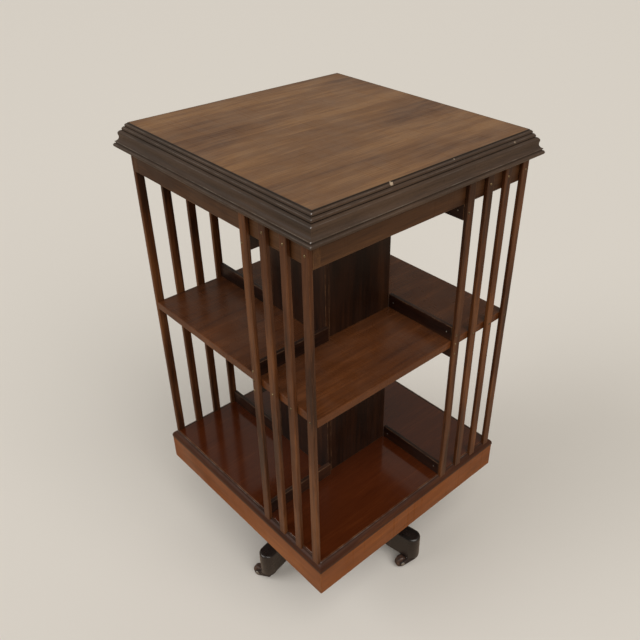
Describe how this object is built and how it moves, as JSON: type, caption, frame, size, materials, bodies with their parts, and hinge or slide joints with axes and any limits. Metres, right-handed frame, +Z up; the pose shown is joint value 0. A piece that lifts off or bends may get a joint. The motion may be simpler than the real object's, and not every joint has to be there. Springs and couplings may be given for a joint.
{
  "type": "revolving bookcase",
  "caption": "Square floor-standing revolving bookcase with two open tiers, slatted sides and a moulded top, turning on a spindle above a cross base on castors.",
  "frame": {"origin": "on the floor under the spindle", "axes": "+Z up the spindle; the front face looks along -Y"},
  "size_m": [0.5034, 0.5034, 0.917],
  "materials": {
    "stained_mahogany": "dark stained and waxed",
    "dark_moulding": "dark french polish, worn pale at the arrises",
    "mahogany_top": "french polished, straight grain",
    "mahogany_case": "french polished",
    "mahogany_slats": "waxed, lighter arrises",
    "pivot_iron": "blackened iron",
    "steel": "worn steel",
    "brass": "aged brass",
    "castor_wheel": "turned hardwood, dark polish"
  },
  "bodies": {
    "base": {"cross_bar_lower": "stained_mahogany", "cross_bar_upper": "stained_mahogany", "pivot_flange": "pivot_iron", "spindle": "steel", "thrust_washer": "brass", "castor_plates": "pivot_iron", "base_screws": "steel"},
    "case": {"rim_bead_front": "dark_moulding", "rim_bead_right": "dark_moulding", "rim_bead_back": "dark_moulding", "rim_bead_left": "dark_moulding", "top_moulding_front": "dark_moulding", "top_moulding_right": "dark_moulding", "top_moulding_back": "dark_moulding", "top_moulding_left": "dark_moulding", "top_board": "mahogany_top", "deck_board": "mahogany_case", "shelf_board": "mahogany_case", "lining_board": "mahogany_case", "rim_fascia_front": "mahogany_case", "rim_fascia_right": "mahogany_case", "rim_fascia_back": "mahogany_case", "rim_fascia_left": "mahogany_case", "frieze_front": "mahogany_case", "frieze_right": "mahogany_case", "frieze_back": "mahogany_case", "frieze_left": "mahogany_case", "lower_box_panel_front": "mahogany_case", "lower_box_panel_right": "mahogany_case", "lower_box_panel_back": "mahogany_case", "lower_box_panel_left": "mahogany_case", "upper_box_panel_front": "mahogany_case", "upper_box_panel_right": "mahogany_case", "upper_box_panel_back": "mahogany_case", "upper_box_panel_left": "mahogany_case", "slats_front": "mahogany_slats", "slats_right": "mahogany_slats", "slats_back": "mahogany_slats", "slats_left": "mahogany_slats", "deck_strips": "mahogany_slats", "under_shelf_strips": "mahogany_slats", "over_shelf_strips": "mahogany_slats", "lining_strips": "mahogany_slats", "bush_screws": "steel", "lower_bush": "brass", "upper_bush": "brass", "slat_pins": "brass"},
    "horn_right": {"castor_horn_right": "pivot_iron", "castor_axle_right": "steel"},
    "wheel_right": {"castor_wheel_right": "castor_wheel"},
    "horn_back": {"castor_horn_back": "pivot_iron", "castor_axle_back": "steel"},
    "wheel_back": {"castor_wheel_back": "castor_wheel"},
    "horn_left": {"castor_horn_left": "pivot_iron", "castor_axle_left": "steel"},
    "wheel_left": {"castor_wheel_left": "castor_wheel"},
    "horn_front": {"castor_horn_front": "pivot_iron", "castor_axle_front": "steel"},
    "wheel_front": {"castor_wheel_front": "castor_wheel"}
  },
  "joints": [
    {"name": "case_spin", "type": "hinge", "parent": "base", "child": "case", "pos_m": [0, 0, 0.2334], "axis": [0, 0, 1], "continuous": true},
    {"name": "castor_right_swivel", "type": "hinge", "parent": "base", "child": "horn_right", "pos_m": [0.21173, 0.03733, 0.027], "axis": [0, 0, 1], "continuous": true},
    {"name": "castor_right_roll", "type": "hinge", "parent": "horn_right", "child": "wheel_right", "pos_m": [0.19663, 0.05534, 0.013], "axis": [-0.766, -0.6428, 0], "continuous": true},
    {"name": "castor_back_swivel", "type": "hinge", "parent": "base", "child": "horn_back", "pos_m": [-0.03733, 0.21173, 0.027], "axis": [0, 0, 1], "continuous": true},
    {"name": "castor_back_roll", "type": "hinge", "parent": "horn_back", "child": "wheel_back", "pos_m": [-0.05534, 0.22684, 0.013], "axis": [-0.6428, -0.766, 0], "continuous": true},
    {"name": "castor_left_swivel", "type": "hinge", "parent": "base", "child": "horn_left", "pos_m": [-0.21173, -0.03733, 0.027], "axis": [0, 0, 1], "continuous": true},
    {"name": "castor_left_roll", "type": "hinge", "parent": "horn_left", "child": "wheel_left", "pos_m": [-0.21977, -0.01525, 0.013], "axis": [-0.9397, -0.342, 0], "continuous": true},
    {"name": "castor_front_swivel", "type": "hinge", "parent": "base", "child": "horn_front", "pos_m": [0.03733, -0.21173, 0.027], "axis": [0, 0, 1], "continuous": true},
    {"name": "castor_front_roll", "type": "hinge", "parent": "horn_front", "child": "wheel_front", "pos_m": [0.01525, -0.2037, 0.013], "axis": [-0.342, -0.9397, 0], "continuous": true}
  ]
}
